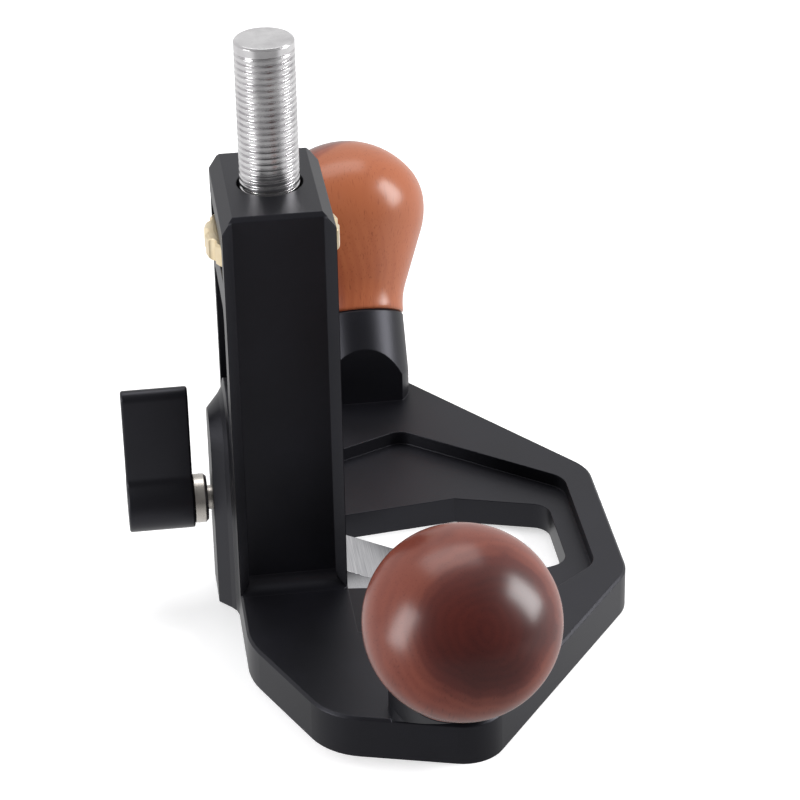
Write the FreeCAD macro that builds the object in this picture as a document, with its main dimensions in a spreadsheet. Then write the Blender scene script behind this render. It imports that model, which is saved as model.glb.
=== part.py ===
import FreeCAD, Part
import Sketcher
import os

# Hand router plane: a flat soled body with an upright column, a threaded depth post
# driven by a wheel nut, a clamp lever at the back and two leaning wooden knobs.
# Millimetres. +X to the mouth, +Z up. The sole is at zero height. Sizes along X count from
# the post's axis; the finished pieces are set back so that the middle of the whole length
# is at zero.

doc = FreeCAD.newDocument("hand_router_plane")
sheet = doc.addObject("Spreadsheet::Sheet", "sizes")

SIZES = {
    # from the post's axis to the middle of the whole length
    "middle_x": 21.65,
    # sole plate outline, corner by corner from the back to the front
    "plate_thick": 10.7,
    "plate_back": 13.0,
    "heel_y": 41.4,
    "hip_x": 1.9,
    "hip_y": 73.8,
    "wing_x": 37.05,
    "wing_y": 84.1,
    "toe_x": 81.3,
    "toe_y": 25.0,
    "heel_round": 22.0,
    "hip_round": 16.0,
    "wing_round": 10.0,
    "toe_round": 12.0,
    "plate_bevel": 0.6,
    # shallow recess in the plate's top
    "recess_deep": 3.6,
    "recess_y": 41.2,
    "recess_peak_x": 35.85,
    "recess_peak_y": 51.5,
    "recess_front_x": 74.1,
    "recess_front_y": 20.7,
    "recess_peak_round": 5.0,
    "recess_front_round": 7.0,
    # mouth window through the plate
    "window_back_y": 16.7,
    "window_peak_x": 45.6,
    "window_peak_y": 20.8,
    "window_front_x": 68.6,
    "window_front_y": 13.6,
    "window_round": 5.0,
    # column
    "column_half_x": 13.0,
    "column_half_y": 18.6,
    "column_corner": 2.5,
    "column_top_bevel": 2.75,
    "column_end_bevel": 1.0,
    "column_cove": 2.8,
    "bore_top_radius": 7.8,
    "post_gap": 0.06,
    # slot for the wheel
    "slot_floor": 92.7,
    "slot_roof": 101.0,
    "column_cap": 8.7,
    "slot_half_y": 16.2,
    # channel for the cutter's heel under the column
    "channel_half_y": 9.6,
    "channel_back": 9.6,
    "channel_roof": 14.4,
    # pocket in the column's back
    "pocket_half_y": 13.0,
    "pocket_top": 84.0,
    "pocket_deep": 3.0,
    "pocket_round": 4.0,
    # clamp boss on the column's back
    "clamp_height": 26.3,
    "clamp_boss_seam": 44.0,
    "clamp_boss_out": 17.4,
    "clamp_boss_flat_y": 6.5,
    "clamp_boss_step": 14.5,
    "clamp_boss_step_y": 9.8,
    "clamp_boss_toe": 13.5,
    "clamp_boss_toe_y": 11.3,
    "clamp_boss_root_y": 13.3,
    # handle bosses and knobs
    "knob_x": 28.6,
    "knob_y": 101.5,
    "knob_z": 51.0,
    "knob_lean": 37.0,
    "knob_joint": 28.5,
    "handle_radius": 12.8,
    "handle_bevel": 0.6,
    "handle_elbow_y": 75.2,
    "handle_inner_y": 67.5,
    "handle_foot_y": 78.0,
    "handle_deep": 40.0,
    "knob_radius": 21.4,
    "knob_widest": 1.6,
    "knob_crown": 19.8,
    "knob_shoulder": 15.0,
    "knob_neck_over": 0.2,
    "knob_neck_sweep": 20.0,
    "knob_edge_round": 0.8,
    "knob_stud_radius": 4.0,
    "knob_stud_in_boss": 15.0,
    "knob_stud_in_knob": 14.0,
    "insert_radius": 5.6,
    "insert_long": 16.0,
    "seat_gap": 0.05,
    # depth post
    "post_radius": 7.0,
    "post_top": 145.3,
    "post_bevel": 0.8,
    "post_flat": 6.2,
    "post_flat_low": 16.0,
    "post_flat_high": 66.0,
    # cutter
    "blade_high": 10.4,
    "blade_half_y": 9.0,
    "blade_heel": 8.6,
    "blade_shoulder": 7.0,
    "blade_edge_x": 30.4,
    "screw_radius": 2.5,
    "screw_deep": 12.0,
    "screw_head_radius": 4.9,
    "screw_head_high": 2.6,
    "screw_sunk": 0.3,
    "screw_key": 1.73,
    "screw_key_deep": 1.5,
    "screw_gap": 0.3,
    "dowel_radius": 1.5,
    "dowel_y": 4.7,
    "dowel_in_blade": 6.0,
    "dowel_in_post": 5.0,
    # wheel nut and its thrust rings
    "wheel_radius": 15.8,
    "wheel_low": 93.0,
    "wheel_thick": 5.5,
    "wheel_bevel": 0.5,
    "wheel_bore_gap": 0.06,
    "scallop_radius": 2.0,
    "scallop_out": 0.9,
    "scallop_count": 16.0,
    "hub_radius": 10.5,
    "ring_thick": 0.3,
    "ring_radius": 10.5,
    "ring_bore": 7.4,
    # clamp lever with its stud, ring and tip
    "lever_out": 38.0,
    "lever_in": 22.0,
    "lever_hub_radius": 7.0,
    "wing_top": 31.2,
    "wing_half": 2.3,
    "wing_low": 10.5,
    "wing_foot": 6.0,
    "wing_foot_half": 3.6,
    "lever_edge_round": 1.0,
    "collar_radius": 6.0,
    "collar_groove": 0.7,
    "collar_groove_wide": 0.8,
    "collar_in": 18.6,
    "stud_radius": 2.97,
    "stud_hole_gap": 0.08,
    "stud_in_lever": 11.0,
    "tip_long": 2.8,
}


def fill_sheet():
    """Writes each size and its name into the sheet."""
    for row, (name, value) in enumerate(SIZES.items(), start=1):
        sheet.set("A%d" % row, name)
        sheet.set("B%d" % row, str(value))
        sheet.setAlias("B%d" % row, name)
    doc.recompute()


def size(name):
    """The value of one size in the sheet."""
    return float(getattr(sheet, name))


def bound(text):
    """A formula on size names, with each name pointed at the sheet."""
    out = ""
    word = ""
    for letter in text + " ":
        if letter.isalnum() or letter == "_":
            word += letter
            continue
        out += "sizes." + word if word in SIZES else word
        word = ""
        out += letter
    return out.strip()


def new_body(name):
    """A body with its label."""
    body = doc.addObject("PartDesign::Body", name)
    body.Label = name
    return body


def origin_part(body, role):
    """One of a body's own origin planes or axes."""
    for item in body.Origin.OutList:
        if item.Role == role:
            return item
    raise ValueError(role)


def new_sketch(body, name, plane):
    """A sketch flat on one of its body's origin planes."""
    sketch = body.newObject("Sketcher::SketchObject", name)
    sketch.AttachmentSupport = (origin_part(body, plane), [""])
    sketch.MapMode = "FlatFace"
    return sketch


def raise_sketch(sketch, height):
    """Lifts a sketch off its plane by a formula."""
    sketch.setExpression("AttachmentOffset.Base.z", bound(height))


def place_point(sketch, item, end, across, up):
    """Ties one point of a sketch to formulas for its two coordinates."""
    if across == "0":
        sketch.addConstraint(Sketcher.Constraint("PointOnObject", item, end, -2))
    else:
        row = sketch.addConstraint(
            Sketcher.Constraint("DistanceX", -1, 1, item, end, worth(across)))
        sketch.setExpression("Constraints[%d]" % row, bound(across))
    if up == "0":
        sketch.addConstraint(Sketcher.Constraint("PointOnObject", item, end, -1))
    else:
        row = sketch.addConstraint(
            Sketcher.Constraint("DistanceY", -1, 1, item, end, worth(up)))
        sketch.setExpression("Constraints[%d]" % row, bound(up))


def worth(formula):
    """The present value of a formula on sizes."""
    return float(sheet.evalExpression(bound(formula)))


def outline(sketch, corners):
    """A closed outline of straight lines through corners given as formulas."""
    places = [FreeCAD.Vector(worth(a), worth(b), 0) for a, b in corners]
    count = len(places)
    for i in range(count):
        line = Part.LineSegment(places[i], places[(i + 1) % count])
        sketch.addGeometry(line, False)
    first = sketch.GeometryCount - count
    for i in range(count):
        sketch.addConstraint(
            Sketcher.Constraint("Coincident", first + i, 2, first + (i + 1) % count, 1))
    for i in range(count):
        place_point(sketch, first + i, 1, *corners[i])


def open_path(sketch, points):
    """A run of straight lines through points given as formulas."""
    places = [FreeCAD.Vector(worth(a), worth(b), 0) for a, b in points]
    for i in range(len(places) - 1):
        sketch.addGeometry(Part.LineSegment(places[i], places[i + 1]), False)
    for i in range(len(places) - 2):
        sketch.addConstraint(Sketcher.Constraint("Coincident", i, 2, i + 1, 1))
        place_point(sketch, i, 1, *points[i])
    last = len(places) - 2
    place_point(sketch, last, 1, *points[last])
    place_point(sketch, last, 2, *points[-1])


def circle(sketch, radius, across="0", up="0"):
    """A circle with formulas for its radius and centre."""
    centre = FreeCAD.Vector(worth(across), worth(up), 0)
    item = sketch.addGeometry(
        Part.Circle(centre, FreeCAD.Vector(0, 0, 1), worth(radius)), False)
    row = sketch.addConstraint(Sketcher.Constraint("Radius", item, worth(radius)))
    sketch.setExpression("Constraints[%d]" % row, bound(radius))
    place_point(sketch, item, 3, across, up)


def pad(body, sketch, name, length, symmetric=False, reverse=False):
    """Material added along a sketch's normal."""
    feature = body.newObject("PartDesign::Pad", name)
    feature.Profile = sketch
    feature.SideType = "Symmetric" if symmetric else "One side"
    feature.Reversed = reverse
    feature.Length = worth(length)
    feature.setExpression("Length", bound(length))
    doc.recompute()
    return feature


def pocket(body, sketch, name, length, symmetric=False, reverse=False):
    """Material cut along a sketch's normal; the volume must drop."""
    before = body.Shape.Volume
    feature = body.newObject("PartDesign::Pocket", name)
    feature.Profile = sketch
    feature.SideType = "Symmetric" if symmetric else "One side"
    feature.Reversed = reverse
    feature.Length = worth(length)
    feature.setExpression("Length", bound(length))
    doc.recompute()
    if not body.Shape.Volume < before:
        raise ValueError(name + " cut nothing")
    return feature


def revolve(body, sketch, name, axis, turn=360.0, reverse=False):
    """Material spun about one of the sketch's own axes."""
    feature = body.newObject("PartDesign::Revolution", name)
    feature.Profile = sketch
    feature.ReferenceAxis = (sketch, [axis])
    feature.Angle = turn
    feature.Reversed = reverse
    doc.recompute()
    return feature


def groove(body, sketch, name, axis):
    """A turned cut about one of the sketch's own axes."""
    before = body.Shape.Volume
    feature = body.newObject("PartDesign::Groove", name)
    feature.Profile = sketch
    feature.ReferenceAxis = (sketch, [axis])
    feature.Angle = 360.0
    doc.recompute()
    if not body.Shape.Volume < before:
        raise ValueError(name + " cut nothing")
    return feature


def edge_names(shape, wanted):
    """Names of the edges whose middle point passes a test."""
    names = []
    for number, edge in enumerate(shape.Edges, start=1):
        middle = edge.valueAt((edge.FirstParameter + edge.LastParameter) / 2.0)
        if wanted(edge, middle):
            names.append("Edge%d" % number)
    if not names:
        raise ValueError("no edge found")
    return names


def soften(body, kind, name, amount, wanted):
    """A fillet or chamfer on the edges that pass a test."""
    tip = body.Tip
    names = edge_names(tip.Shape, wanted)
    feature = body.newObject("PartDesign::" + kind, name)
    feature.Base = (tip, names)
    prop = "Radius" if kind == "Fillet" else "Size"
    setattr(feature, prop, worth(amount))
    feature.setExpression(prop, bound(amount))
    doc.recompute()
    return feature


def upright(edge, middle):
    """True for an edge that runs along Z."""
    low, high = edge.BoundBox.ZMin, edge.BoundBox.ZMax
    return high - low > NEAR and edge.BoundBox.DiagonalLength - (high - low) < NEAR


def at_corner(across, along):
    """A test for upright edges at plus or minus a corner's place."""
    x = worth(across)
    y = worth(along)

    def found(edge, middle):
        return (upright(edge, middle) and abs(middle.x - x) < NEAR
                and abs(abs(middle.y) - y) < NEAR)

    return found


def mirrored(corners):
    """A half outline at +Y, from the back to the front, closed at -Y."""
    other = [(a, "-" + b) for a, b in reversed(corners)]
    return corners + other


NEAR = 0.02
# straight steps along the column's foot cove and along each arc of the knob's outline
COVE_STEPS = 4
NECK_STEPS = 2
BELLY_STEPS = 2
SHOULDER_STEPS = 4
CROWN_STEPS = 4

fill_sheet()


def cove_outline(sketch, sign):
    """The hollow fillet between the plate's top and one end face of the column."""
    inner = sign + "(column_half_y - 1)"
    face = sign + "column_half_y"
    toe = sign + "(column_half_y + column_cove)"
    low = "plate_thick - 1"
    corners = [(inner, "plate_thick + column_cove"), (inner, low), (toe, low),
               (toe, "plate_thick")]
    for step in range(1, COVE_STEPS):
        angle = "(90 * %d / %d)" % (step, COVE_STEPS)
        corners.append((
            sign + "(column_half_y + column_cove * (1 - sin" + angle + "))",
            "plate_thick + column_cove * (1 - cos" + angle + ")"))
    corners.append((face, "plate_thick + column_cove"))
    outline(sketch, corners)


def make_frame():
    """Sole plate, column and clamp boss with all their cuts."""
    body = new_body("frame")

    plan = new_sketch(body, "plate_outline", "XY_Plane")
    outline(plan, mirrored([("-plate_back", "heel_y"), ("hip_x", "hip_y"),
                            ("wing_x", "wing_y"), ("toe_x", "toe_y")]))
    pad(body, plan, "plate", "plate_thick")
    soften(body, "Fillet", "heel_rounds", "heel_round", at_corner("-plate_back", "heel_y"))
    soften(body, "Fillet", "hip_rounds", "hip_round", at_corner("hip_x", "hip_y"))
    soften(body, "Fillet", "wing_rounds", "wing_round", at_corner("wing_x", "wing_y"))
    soften(body, "Fillet", "toe_rounds", "toe_round", at_corner("toe_x", "toe_y"))
    top = worth("plate_thick")
    soften(body, "Chamfer", "plate_edge", "plate_bevel",
           lambda edge, middle: abs(middle.z - top) < NEAR)

    dish = new_sketch(body, "recess_outline", "XY_Plane")
    raise_sketch(dish, "plate_thick")
    outline(dish, mirrored([("column_half_x", "recess_y"),
                            ("recess_peak_x", "recess_peak_y"),
                            ("recess_front_x", "recess_front_y")]))
    pocket(body, dish, "recess", "recess_deep")
    soften(body, "Fillet", "recess_peak_rounds", "recess_peak_round",
           at_corner("recess_peak_x", "recess_peak_y"))
    soften(body, "Fillet", "recess_front_rounds", "recess_front_round",
           at_corner("recess_front_x", "recess_front_y"))

    mouth = new_sketch(body, "window_outline", "XY_Plane")
    raise_sketch(mouth, "plate_thick")
    outline(mouth, mirrored([("column_half_x", "window_back_y"),
                             ("window_peak_x", "window_peak_y"),
                             ("window_front_x", "window_front_y")]))
    pocket(body, mouth, "window", "plate_thick")
    soften(body, "Fillet", "window_rounds", "window_round",
           at_corner("window_front_x", "window_front_y"))

    foot = new_sketch(body, "column_outline", "XY_Plane")
    outline(foot, mirrored([
        ("-column_half_x", "column_half_y - column_corner"),
        ("-column_half_x + column_corner", "column_half_y"),
        ("column_half_x - column_corner", "column_half_y"),
        ("column_half_x", "column_half_y - column_corner")]))
    pad(body, foot, "column", "slot_roof + column_cap")

    cove = new_sketch(body, "cove_outlines", "YZ_Plane")
    for sign in ("", "-"):
        cove_outline(cove, sign)
    pad(body, cove, "column_coves", "2 * (column_half_x - column_corner)", symmetric=True)

    for side, sign in (("front", ""), ("back", "-")):
        slope = new_sketch(body, "top_bevel_" + side, "XZ_Plane")
        outline(slope, [(sign + "(column_half_x - column_top_bevel)", "slot_roof + column_cap"),
                        (sign + "column_half_x", "slot_roof + column_cap - column_top_bevel"),
                        (sign + "(column_half_x + 1)", "slot_roof + column_cap - column_top_bevel"),
                        (sign + "(column_half_x + 1)", "slot_roof + column_cap + 1"),
                        (sign + "(column_half_x - column_top_bevel)", "slot_roof + column_cap + 1")])
        pocket(body, slope, "top_slope_" + side, "2 * column_half_y + 10", symmetric=True)
    for side, sign in (("left", ""), ("right", "-")):
        slope = new_sketch(body, "end_bevel_" + side, "YZ_Plane")
        outline(slope, [(sign + "(column_half_y - column_end_bevel)", "slot_roof + column_cap"),
                        (sign + "column_half_y", "slot_roof + column_cap - column_end_bevel"),
                        (sign + "(column_half_y + 1)", "slot_roof + column_cap - column_end_bevel"),
                        (sign + "(column_half_y + 1)", "slot_roof + column_cap + 1"),
                        (sign + "(column_half_y - column_end_bevel)", "slot_roof + column_cap + 1")])
        pocket(body, slope, "end_slope_" + side, "2 * column_half_x + 10", symmetric=True)

    hollow = new_sketch(body, "pocket_outline", "YZ_Plane")
    raise_sketch(hollow, "-column_half_x")
    outline(hollow, [("-pocket_half_y", "clamp_boss_seam"), ("pocket_half_y", "clamp_boss_seam"),
                     ("pocket_half_y", "pocket_top"), ("-pocket_half_y", "pocket_top")])
    pocket(body, hollow, "back_pocket", "pocket_deep", reverse=True)
    high = worth("pocket_top")
    wide = worth("pocket_half_y")
    soften(body, "Fillet", "pocket_rounds", "pocket_round",
           lambda edge, middle: abs(middle.z - high) < NEAR and abs(abs(middle.y) - wide) < NEAR)

    half = [("-column_half_x + pocket_deep + 1", "clamp_boss_root_y"),
            ("-column_half_x", "clamp_boss_root_y"),
            ("-clamp_boss_toe", "clamp_boss_toe_y"),
            ("-clamp_boss_step", "clamp_boss_step_y"),
            ("-clamp_boss_out", "clamp_boss_flat_y")]
    block = new_sketch(body, "clamp_boss_outline", "XY_Plane")
    outline(block, mirrored(half))
    pad(body, block, "clamp_boss", "clamp_boss_seam")
    dome = new_sketch(body, "clamp_boss_half", "XY_Plane")
    raise_sketch(dome, "clamp_boss_seam")
    outline(dome, half + [("-clamp_boss_out", "0"), ("-column_half_x + pocket_deep + 1", "0")])
    revolve(body, dome, "clamp_boss_dome", "H_Axis", turn=180.0)

    level = new_sketch(body, "slot_outline", "YZ_Plane")
    outline(level, [("-slot_half_y", "slot_floor"), ("slot_half_y", "slot_floor"),
                    ("slot_half_y", "slot_roof"), ("-slot_half_y", "slot_roof")])
    pocket(body, level, "wheel_slot", "2 * column_half_x + 2", symmetric=True)

    under = new_sketch(body, "channel_outline", "XY_Plane")
    outline(under, [("-channel_back", "-channel_half_y"),
                    ("column_half_x + 1", "-channel_half_y"),
                    ("column_half_x + 1", "channel_half_y"),
                    ("-channel_back", "channel_half_y")])
    pocket(body, under, "heel_channel", "channel_roof", reverse=True)

    low = new_sketch(body, "post_bore_ring", "XY_Plane")
    circle(low, "post_radius + post_gap")
    pocket(body, low, "post_bore", "slot_floor + 1", reverse=True)
    upper = new_sketch(body, "top_bore_ring", "XY_Plane")
    raise_sketch(upper, "slot_roof + column_cap")
    circle(upper, "bore_top_radius")
    pocket(body, upper, "top_bore", "column_cap + 1")

    tap = new_sketch(body, "stud_hole_ring", "YZ_Plane")
    circle(tap, "stud_radius + stud_hole_gap", "0", "clamp_height")
    pocket(body, tap, "stud_hole", "clamp_boss_out + 1")
    return body


def make_handle_boss():
    """The right-hand boss: a round elbow, upright at its foot and leaning at its seat."""
    body = new_body("handle_boss")

    def seat(sketch):
        """Sets a sketch square on the knob's axis at the joint."""
        sketch.AttachmentOffset = FreeCAD.Placement(
            FreeCAD.Vector(0, 0, 0),
            FreeCAD.Rotation(FreeCAD.Vector(1, 0, 0), worth("knob_lean")))
        sketch.setExpression("AttachmentOffset.Rotation.Angle", bound("knob_lean"))
        sketch.setExpression("AttachmentOffset.Base.x", bound("knob_x"))
        sketch.setExpression(
            "AttachmentOffset.Base.y", bound("-knob_y + knob_joint * sin(knob_lean)"))
        sketch.setExpression(
            "AttachmentOffset.Base.z", bound("knob_z - knob_joint * cos(knob_lean)"))

    ring = new_sketch(body, "seat_ring", "XY_Plane")
    seat(ring)
    circle(ring, "handle_radius")
    path = new_sketch(body, "elbow_path", "YZ_Plane")
    raise_sketch(path, "knob_x")
    joint_y = "(-knob_y + knob_joint * sin(knob_lean))"
    joint_z = "(knob_z - knob_joint * cos(knob_lean))"
    elbow_z = joint_z + " - (-handle_elbow_y - " + joint_y + ") / tan(knob_lean)"
    path_points = [(joint_y, joint_z), ("-handle_elbow_y", elbow_z),
                   ("-handle_elbow_y", "plate_thick / 2")]
    open_path(path, path_points)
    elbow = body.newObject("PartDesign::AdditivePipe", "elbow")
    elbow.Profile = ring
    elbow.Spine = (path, ["Edge1", "Edge2"])
    elbow.Transition = "Right corner"
    doc.recompute()
    soften(body, "Chamfer", "seat_edge", "handle_bevel",
           lambda edge, middle: (edge.Curve.TypeId == "Part::GeomCircle"
                                 and middle.z > worth("knob_z - knob_joint")))

    rim_y = "(" + joint_y + " - (handle_radius + 0.2) * cos(knob_lean))"
    rim_z = "(" + joint_z + " - (handle_radius + 0.2) * sin(knob_lean))"
    below = new_sketch(body, "underside", "YZ_Plane")
    raise_sketch(below, "knob_x")
    outline(below, [("-handle_inner_y + 60", "plate_thick / 2"),
                    ("-handle_foot_y", "plate_thick / 2"),
                    ("-handle_foot_y", "plate_thick"),
                    (rim_y, rim_z),
                    (rim_y + " * 3 + 2 * handle_foot_y", rim_z + " * 3 - 2 * plate_thick"),
                    (rim_y + " * 3 + 2 * handle_foot_y", "-100"),
                    ("-handle_inner_y + 60", "-100")])
    pocket(body, below, "underside_cut", "4 * handle_radius", symmetric=True)

    inner = new_sketch(body, "inner_face", "YZ_Plane")
    raise_sketch(inner, "knob_x")
    outline(inner, [("-handle_inner_y", "-5"), ("-handle_inner_y + 60", "-5"),
                    ("-handle_inner_y + 60", "100"), ("-handle_inner_y", "100")])
    pocket(body, inner, "inner_cut", "4 * handle_radius", symmetric=True)

    hole = new_sketch(body, "stud_hole_ring", "XY_Plane")
    seat(hole)
    circle(hole, "knob_stud_radius")
    pocket(body, hole, "stud_hole", "knob_stud_in_boss + 1")
    return body


def make_plane_body():
    """The frame with a handle boss on each side, joined into one piece."""
    frame = make_frame()
    right = make_handle_boss()
    left = doc.addObject("Part::Mirroring", "left_handle_boss")
    left.Source = right
    left.Normal = FreeCAD.Vector(0, 1, 0)
    whole = doc.addObject("Part::MultiFuse", "plane_body")
    whole.Shapes = [frame, right, left]
    whole.Refine = True
    whole.Label = "plane_body"
    doc.recompute()
    return whole


def lean(piece, side):
    """Stands a piece made along Z on a knob's leaning axis, its zero at the knob's middle."""
    turn = FreeCAD.Rotation(FreeCAD.Vector(side, 0, 0), worth("knob_lean"))
    piece.Placement = FreeCAD.Placement(
        FreeCAD.Vector(worth("knob_x - middle_x"), -side * worth("knob_y"), worth("knob_z")),
        turn)
    piece.setExpression("Placement.Rotation.Angle", bound("knob_lean"))
    piece.setExpression("Placement.Base.x", bound("knob_x - middle_x"))
    piece.setExpression("Placement.Base.y", bound("-knob_y" if side > 0 else "knob_y"))
    piece.setExpression("Placement.Base.z", bound("knob_z"))


def arc_corners(across, up, radius, start, sweep, steps):
    """Corners along an arc, each a pair of formulas; the start itself is left out."""
    corners = []
    for step in range(1, steps + 1):
        angle = "(%s + (%s) * %d / %d)" % (start, sweep, step, steps)
        corners.append(("%s + %s * cos%s" % (across, radius, angle),
                        "%s + %s * sin%s" % (up, radius, angle)))
    return corners


def knob_corners():
    """The turned half outline: neck sweep, cone, belly, rounder shoulder and flat crown."""
    low = "(knob_edge_round - knob_joint)"
    neck = "(handle_radius + knob_neck_over)"
    reach = "(" + neck + " + knob_neck_sweep)"
    rise = "(knob_widest - " + low + ")"
    apart = "sqrt(" + reach + "^2 + " + rise + "^2)"
    # the cone touches both the neck's sweep and the belly at this slope
    slope = ("(atan(" + rise + " / " + reach + ") - acos((knob_radius + knob_neck_sweep) / "
             + apart + "))")
    # the shoulder meets the crown's larger arc where both have the same slope
    inward = "(knob_radius - knob_shoulder)"
    high = "(knob_crown - knob_widest)"
    cap = ("((" + inward + "^2 + " + high + "^2 - knob_shoulder^2) / (2 * (" + high
           + " - knob_shoulder)))")
    cap_middle = "(knob_crown - " + cap + ")"
    meet = "atan((knob_widest - " + cap_middle + ") / " + inward + ")"
    corners = [("0", "-knob_joint"), (neck + " - knob_edge_round", "-knob_joint"),
               (neck, low)]
    corners += arc_corners(reach, low, "knob_neck_sweep", "180 deg", "-" + slope,
                          NECK_STEPS)
    corners.append(("knob_radius * cos(" + slope + ")",
                    "knob_widest - knob_radius * sin(" + slope + ")"))
    corners += arc_corners("0", "knob_widest", "knob_radius", "-" + slope, slope, BELLY_STEPS)
    corners += arc_corners(inward, "knob_widest", "knob_shoulder", "0 deg", meet,
                          SHOULDER_STEPS)
    crown = arc_corners("0", cap_middle, cap, meet, "90 deg - " + meet, CROWN_STEPS)
    corners += crown[:-1]
    corners.append(("0", "knob_crown"))
    return corners


def make_knob(name, side):
    """A pear-shaped turned knob with a bore for its threaded sleeve."""
    body = new_body(name)
    half = new_sketch(body, "turned_outline", "XZ_Plane")
    outline(half, knob_corners())
    revolve(body, half, "turned_wood", "V_Axis")
    ring = new_sketch(body, "sleeve_bore_ring", "XY_Plane")
    raise_sketch(ring, "-knob_joint")
    circle(ring, "insert_radius + seat_gap")
    pocket(body, ring, "sleeve_bore", "insert_long + seat_gap", reverse=True)
    lean(body, side)
    return body


def make_insert(name, side):
    """The threaded sleeve in a knob's foot."""
    body = new_body(name)
    ring = new_sketch(body, "sleeve_ring", "XY_Plane")
    raise_sketch(ring, "-knob_joint")
    circle(ring, "insert_radius")
    circle(ring, "knob_stud_radius + seat_gap")
    pad(body, ring, "sleeve", "insert_long")
    lean(body, side)
    return body


def make_knob_stud(name, side):
    """The threaded stud from the boss into the knob."""
    body = new_body(name)
    ring = new_sketch(body, "stud_ring", "XY_Plane")
    raise_sketch(ring, "-knob_joint - knob_stud_in_boss")
    circle(ring, "knob_stud_radius - seat_gap")
    pad(body, ring, "stud", "knob_stud_in_boss + knob_stud_in_knob")
    lean(body, side)
    return body


def make_post():
    """The depth post with its clamp flat and the holes in its foot."""
    body = new_body("depth_post")
    ring = new_sketch(body, "post_ring", "XY_Plane")
    raise_sketch(ring, "blade_high")
    circle(ring, "post_radius")
    pad(body, ring, "shaft", "post_top - blade_high")
    high = worth("post_top")
    soften(body, "Chamfer", "post_crown", "post_bevel",
           lambda edge, middle: abs(middle.z - high) < NEAR)
    flat = new_sketch(body, "flat_outline", "XZ_Plane")
    outline(flat, [("-post_radius - 1", "post_flat_low"), ("-post_flat", "post_flat_low"),
                   ("-post_flat", "post_flat_high"), ("-post_radius - 1", "post_flat_high")])
    pocket(body, flat, "clamp_flat", "3 * post_radius", symmetric=True)
    tap = new_sketch(body, "foot_hole_rings", "XY_Plane")
    raise_sketch(tap, "blade_high")
    circle(tap, "screw_radius")
    pocket(body, tap, "screw_hole", "screw_deep + 1", reverse=True)
    pins = new_sketch(body, "pin_hole_rings", "XY_Plane")
    raise_sketch(pins, "blade_high")
    circle(pins, "dowel_radius", "0", "dowel_y")
    circle(pins, "dowel_radius", "0", "-dowel_y")
    pocket(body, pins, "pin_holes", "dowel_in_post + screw_gap", reverse=True)
    return body


def make_blade():
    """The cutter: a flat heel under the post and a long slope to its edge."""
    body = new_body("blade")
    side = new_sketch(body, "blade_outline", "XZ_Plane")
    outline(side, [("-blade_heel", "0"), ("blade_edge_x", "0"),
                   ("blade_shoulder", "blade_high"), ("-blade_heel", "blade_high")])
    pad(body, side, "wedge", "2 * blade_half_y", symmetric=True)
    hole = new_sketch(body, "screw_seat", "XZ_Plane")
    cone = "screw_sunk + screw_head_high + screw_gap"
    outline(hole, [("0", "0"), ("screw_head_radius + screw_gap", "0"),
                   ("screw_head_radius + screw_gap", "screw_sunk"),
                   ("screw_radius + screw_gap", cone),
                   ("screw_radius + screw_gap", "blade_high"), ("0", "blade_high")])
    groove(body, hole, "countersink", "V_Axis")
    pins = new_sketch(body, "pin_hole_rings", "XY_Plane")
    raise_sketch(pins, "blade_high")
    circle(pins, "dowel_radius", "0", "dowel_y")
    circle(pins, "dowel_radius", "0", "-dowel_y")
    pocket(body, pins, "pin_holes", "dowel_in_blade + screw_gap")
    return body


def make_blade_screw():
    """The countersunk screw with its six-sided key socket."""
    body = new_body("blade_screw")
    side = new_sketch(body, "screw_outline", "XZ_Plane")
    outline(side, [("0", "screw_sunk"), ("screw_head_radius", "screw_sunk"),
                   ("screw_radius - seat_gap", "screw_sunk + screw_head_high"),
                   ("screw_radius - seat_gap", "blade_high + screw_deep"),
                   ("0", "blade_high + screw_deep")])
    revolve(body, side, "screw_turned", "V_Axis")
    key = new_sketch(body, "key_outline", "XY_Plane")
    raise_sketch(key, "screw_sunk")
    corners = []
    for step in range(6):
        corners.append(("screw_key * cos(%d)" % (60 * step + 30),
                        "screw_key * sin(%d)" % (60 * step + 30)))
    outline(key, corners)
    pocket(body, key, "key_socket", "screw_key_deep", reverse=True)
    return body


def cylinder(name, radius, height, x="0", y="0", z="0"):
    """A plain upright cylinder tied to formulas."""
    piece = doc.addObject("Part::Cylinder", name)
    piece.Label = name
    piece.setExpression("Radius", bound(radius))
    piece.setExpression("Height", bound(height))
    piece.setExpression("Placement.Base.x", bound(x))
    piece.setExpression("Placement.Base.y", bound(y))
    piece.setExpression("Placement.Base.z", bound(z))
    return piece


def make_dowels():
    """Two locating pins between the post and the cutter."""
    pins = []
    for word, sign in (("left", ""), ("right", "-")):
        pins.append(cylinder("dowel_" + word, "dowel_radius - seat_gap",
                             "dowel_in_blade + dowel_in_post",
                             y=sign + "dowel_y", z="blade_high - dowel_in_blade"))
    group = doc.addObject("Part::Compound", "blade_dowels")
    group.Links = pins
    group.Label = "blade_dowels"
    return group


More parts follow.
